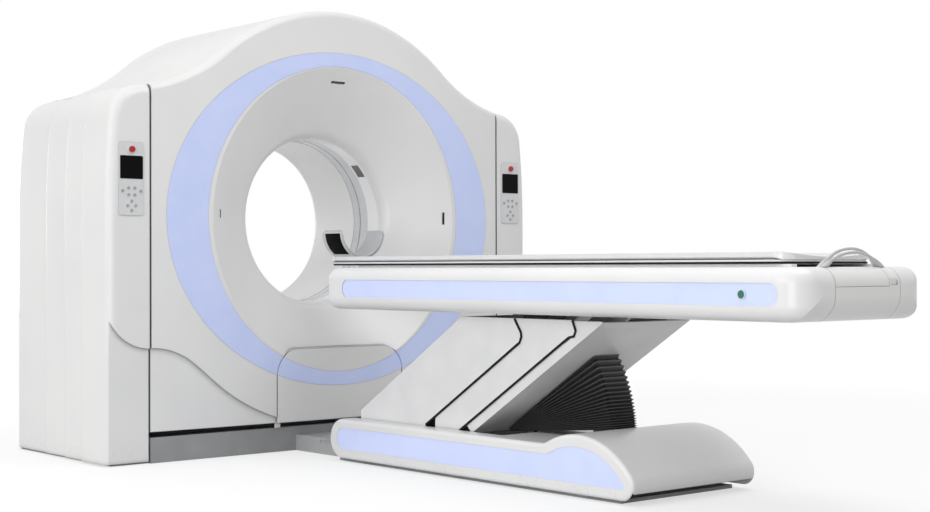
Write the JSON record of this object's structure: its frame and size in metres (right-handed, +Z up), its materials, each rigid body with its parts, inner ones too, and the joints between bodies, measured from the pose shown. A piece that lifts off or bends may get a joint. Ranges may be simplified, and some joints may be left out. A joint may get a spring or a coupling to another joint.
{
  "type": "ct scanner",
  "caption": "Medical CT scanner: tilting ring gantry with a flared bore and enclosed spinning rotor, and a patient table whose sliding cradle rides on a parallelogram lift.",
  "frame": {"origin": "on the floor under the isocentre, at the centre of the gantry's four floor anchors", "axes": "+Z up, the patient table lies towards -Y along the bore's axis, -X is the side with the release button"},
  "size_m": [2.14, 3.466, 1.82],
  "materials": {
    "cover_white": "satin",
    "cover_white_metal": "satin",
    "light_band": "satin",
    "skirt_grey": "satin",
    "frame_paint": "satin",
    "machined_steel": "satin",
    "machined_aluminium": "satin",
    "polished_rod": "polished",
    "bellows_rubber": "matte",
    "belt_rubber": "matte",
    "display_black": "gloss",
    "key_plate": "matte",
    "stop_red": "gloss",
    "release_teal": "gloss",
    "window_film": "satin",
    "lamp_black": "gloss",
    "cable_grey": "matte",
    "holder_grey": "satin",
    "pad_foam": "matte",
    "carriage_white": "satin",
    "slip_ring_brass": "satin",
    "housing_grey": "satin"
  },
  "bodies": {
    "root": {"gantry_base_frame": "frame_paint", "tilt_stands": "frame_paint", "left_pod": "cover_white", "right_pod": "cover_white", "left_side_panels": "cover_white", "right_side_panels": "cover_white", "front_skirt": "skirt_grey", "floor_duct": "skirt_grey", "control_panels": "key_plate", "panel_displays": "display_black", "table_base_plate": "frame_paint", "table_base_cover": "cover_white", "base_inlays": "light_band", "bellows": "bellows_rubber"},
    "tilting_gantry": {"tilt_frame": "frame_paint", "front_cover": "cover_white", "service_cover": "cover_white", "light_ring": "light_band", "bore_liner": "cover_white", "scan_window": "window_film", "rear_cover": "cover_white", "top_cover": "cover_white", "positioning_lamps": "lamp_black", "drive_motor": "housing_grey", "drive_belt": "belt_rubber", "bearing_outer_race": "machined_steel"},
    "rotor": {"rotor_drum": "machined_aluminium", "bearing_inner_race": "machined_steel", "xray_tube": "housing_grey", "collimator": "machined_aluminium", "detector_arc": "housing_grey", "hv_generator": "housing_grey", "heat_exchanger": "machined_aluminium", "slip_ring": "slip_ring_brass"},
    "motor_pulley": {"drive_pulley": "machined_steel"},
    "left_stop": {"left_stop_button": "stop_red"},
    "right_stop": {"right_stop_button": "stop_red"},
    "rear_arm_pair": {"rear_arm": "frame_paint", "column_cover_rear": "cover_white_metal"},
    "front_arm_pair": {"front_arm": "frame_paint", "column_cover_front": "cover_white_metal"},
    "middle_links": {"column_cover_middle": "cover_white_metal"},
    "actuator_body": {"lift_actuator": "housing_grey"},
    "actuator_stage": {"lift_stage": "machined_steel"},
    "actuator_rod": {"lift_rod": "polished_rod"},
    "table_top": {"table_frame": "frame_paint", "left_side_cover": "cover_white", "right_side_cover": "cover_white", "side_inlays": "light_band", "foot_cover": "cover_white", "foot_panel": "cover_white", "frame_top_cover": "cover_white_metal", "cable_1": "cable_grey", "cable_2": "cable_grey", "cable_glands": "cable_grey"},
    "release": {"release_button": "release_teal"},
    "cradle_slide": {"cradle": "cover_white", "cradle_carriage": "carriage_white", "head_holder": "holder_grey", "head_pad": "pad_foam"}
  },
  "joints": [
    {"name": "gantry_tilt", "type": "hinge", "parent": "root", "child": "tilting_gantry", "pos_m": [0, 0, 0.952], "axis": [-1, 0, 0], "range_deg": [-30, 30]},
    {"name": "rotor_spin", "type": "hinge", "parent": "tilting_gantry", "child": "rotor", "pos_m": [0, 0, 0.952], "axis": [0, 1, 0], "continuous": true},
    {"name": "pulley_spin", "type": "hinge", "parent": "tilting_gantry", "child": "motor_pulley", "pos_m": [-0.56286, 0.165, 0.38914], "axis": [0, 1, 0], "continuous": true},
    {"name": "rear_arm_lift", "type": "hinge", "parent": "root", "child": "rear_arm_pair", "pos_m": [0, -1.363, 0.145], "axis": [-1, 0, 0], "range_deg": [-18, 8], "deforming": ["bellows"]},
    {"name": "front_arm_lift", "type": "hinge", "parent": "root", "child": "front_arm_pair", "pos_m": [0, -0.84, 0.13], "axis": [-1, 0, 0], "range_deg": [-18, 8]},
    {"name": "middle_link_lift", "type": "hinge", "parent": "root", "child": "middle_links", "pos_m": [0, -1.235, 0.14], "axis": [-1, 0, 0], "range_deg": [-18, 8]},
    {"name": "table_level", "type": "hinge", "parent": "rear_arm_pair", "child": "table_top", "pos_m": [0, -2.15168, 0.63782], "axis": [-1, 0, 0], "range_deg": [-8, 18]},
    {"name": "actuator_swing", "type": "hinge", "parent": "root", "child": "actuator_body", "pos_m": [0, -1.88, 0.075], "axis": [-1, 0, 0], "range_deg": [-9, 4]},
    {"name": "stage_slide", "type": "slide", "parent": "actuator_body", "child": "actuator_stage", "axis": [0, 0.2104, 0.9776], "range_m": [-0.0784, 0.035]},
    {"name": "rod_slide", "type": "slide", "parent": "actuator_stage", "child": "actuator_rod", "axis": [0, 0.2104, 0.9776], "range_m": [-0.0784, 0.035]},
    {"name": "cradle_travel", "type": "slide", "parent": "table_top", "child": "cradle_slide", "axis": [0, 1, 0], "range_m": [0, 1.5]},
    {"name": "left_stop_press", "type": "slide", "parent": "root", "child": "left_stop", "axis": [0, 1, 0], "range_m": [0, 0.004], "stiffness_N_per_m": 900},
    {"name": "right_stop_press", "type": "slide", "parent": "root", "child": "right_stop", "axis": [0, 1, 0], "range_m": [0, 0.004], "stiffness_N_per_m": 900},
    {"name": "release_press", "type": "slide", "parent": "table_top", "child": "release", "axis": [1, 0, 0], "range_m": [0, 0.0025], "stiffness_N_per_m": 700}
  ],
  "couplings": [
    {"joint": "pulley_spin", "follows": "rotor_spin", "ratio": 11.594},
    {"joint": "front_arm_lift", "follows": "rear_arm_lift", "ratio": 1},
    {"joint": "middle_link_lift", "follows": "rear_arm_lift", "ratio": 1},
    {"joint": "table_level", "follows": "rear_arm_lift", "ratio": -1},
    {"joint": "actuator_swing", "follows": "rear_arm_lift", "ratio": 0.5},
    {"joint": "stage_slide", "follows": "rear_arm_lift", "m_per_rad": 0.2485},
    {"joint": "rod_slide", "follows": "rear_arm_lift", "m_per_rad": 0.2485}
  ]
}
